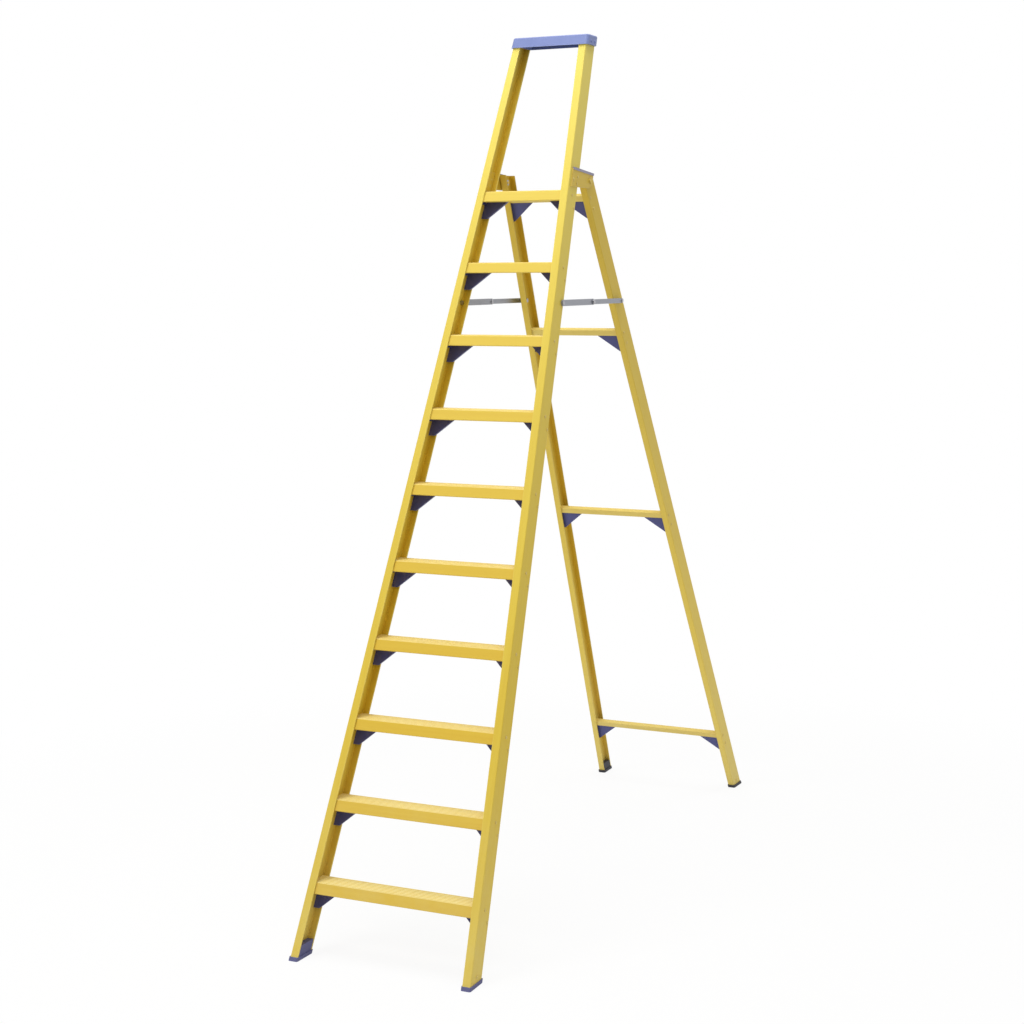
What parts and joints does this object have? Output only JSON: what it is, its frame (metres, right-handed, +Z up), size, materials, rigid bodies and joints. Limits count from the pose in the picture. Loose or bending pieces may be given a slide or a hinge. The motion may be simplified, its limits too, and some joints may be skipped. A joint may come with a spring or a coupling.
{
  "type": "fiberglass stepladder",
  "caption": "Tall yellow fibreglass stepladder with flat treads, a handrail frame with a blue cap, a hinged back frame, folding side stays and blue corner brackets.",
  "frame": {"origin": "on the floor under the middle of the open ladder's footprint", "axes": "+X right seen from the climbing side, +Y from the climbing side to the back frame, +Z up"},
  "size_m": [0.6318, 2.5436, 2.919],
  "materials": {
    "fibreglass_yellow": "pultruded fibreglass, satin",
    "tread_yellow": "pultruded fibreglass, satin",
    "bracket_navy": "moulded, matt",
    "cap_blue": "moulded, satin",
    "foot_blue": "moulded, matt",
    "foot_dark": "moulded, matt",
    "hinge_yellow": "painted plate",
    "cover_grey": "moulded strip",
    "rivet_yellow": "painted rivet heads",
    "stay_metal": "satin"
  },
  "bodies": {
    "front_frame": {"cap_screws": "rivet_yellow", "front_foot_left": "foot_blue", "front_foot_right": "foot_blue", "front_rivets": "rivet_yellow", "front_stile_left": "fibreglass_yellow", "front_stile_right": "fibreglass_yellow", "hinge_backing_left": "hinge_yellow", "hinge_backing_right": "hinge_yellow", "hinge_bolts": "stay_metal", "hinge_cover_left": "cover_grey", "hinge_cover_right": "cover_grey", "hinge_nuts": "stay_metal", "hinge_plate_left": "hinge_yellow", "hinge_plate_right": "hinge_yellow", "hinge_rivets": "rivet_yellow", "hinge_spacers": "stay_metal", "stay_front_pins": "stay_metal", "top_cap": "cap_blue", "tread_01": "tread_yellow", "tread_02": "tread_yellow", "tread_03": "tread_yellow", "tread_04": "tread_yellow", "tread_05": "tread_yellow", "tread_06": "tread_yellow", "tread_07": "tread_yellow", "tread_08": "tread_yellow", "tread_09": "tread_yellow", "tread_10": "tread_yellow", "tread_brackets_01": "bracket_navy", "tread_brackets_02": "bracket_navy", "tread_brackets_03": "bracket_navy", "tread_brackets_04": "bracket_navy", "tread_brackets_05": "bracket_navy", "tread_brackets_06": "bracket_navy", "tread_brackets_07": "bracket_navy", "tread_brackets_08": "bracket_navy", "tread_brackets_09": "bracket_navy", "tread_brackets_10": "bracket_navy"},
    "rear_frame": {"rear_foot_left": "foot_dark", "rear_foot_right": "foot_dark", "rear_rail_1": "tread_yellow", "rear_rail_2": "tread_yellow", "rear_rail_3": "tread_yellow", "rear_rail_4": "tread_yellow", "rear_rail_brackets_1": "bracket_navy", "rear_rail_brackets_2": "bracket_navy", "rear_rail_brackets_3": "bracket_navy", "rear_rail_brackets_4": "bracket_navy", "rear_rivets": "rivet_yellow", "rear_stile_left": "fibreglass_yellow", "rear_stile_right": "fibreglass_yellow", "stay_bosses": "stay_metal"},
    "stay_front_left": {"stay_front_link_left": "stay_metal"},
    "stay_front_right": {"stay_front_link_right": "stay_metal"},
    "stay_rear_left": {"stay_pins_left": "stay_metal", "stay_rear_link_left": "stay_metal"},
    "stay_rear_right": {"stay_pins_right": "stay_metal", "stay_rear_link_right": "stay_metal"}
  },
  "joints": [
    {"name": "rear_fold", "type": "hinge", "parent": "front_frame", "child": "rear_frame", "pos_m": [0, -0.01558, 2.422], "axis": [-1, 0, 0], "range_deg": [0, 51]},
    {"name": "stay_front_pivot_left", "type": "hinge", "parent": "front_frame", "child": "stay_front_left", "pos_m": [-0.1946, -0.30739, 2.01], "axis": [1, 0, 0], "range_deg": [0, 69.56]},
    {"name": "stay_knuckle_left", "type": "hinge", "parent": "stay_front_left", "child": "stay_rear_left", "pos_m": [-0.1946, -0.05315, 2.01], "axis": [-1, 0, 0], "range_deg": [0, 155.42]},
    {"name": "stay_front_pivot_right", "type": "hinge", "parent": "front_frame", "child": "stay_front_right", "pos_m": [0.1946, -0.30739, 2.01], "axis": [1, 0, 0], "range_deg": [0, 69.56]},
    {"name": "stay_knuckle_right", "type": "hinge", "parent": "stay_front_right", "child": "stay_rear_right", "pos_m": [0.1946, -0.05315, 2.01], "axis": [-1, 0, 0], "range_deg": [0, 155.42]}
  ],
  "couplings": [
    {"joint": "stay_front_pivot_left", "follows": "rear_fold", "ratio": 1.36},
    {"joint": "stay_knuckle_left", "follows": "rear_fold", "ratio": 3.0435},
    {"joint": "stay_front_pivot_right", "follows": "rear_fold", "ratio": 1.36},
    {"joint": "stay_knuckle_right", "follows": "rear_fold", "ratio": 3.0435}
  ]
}
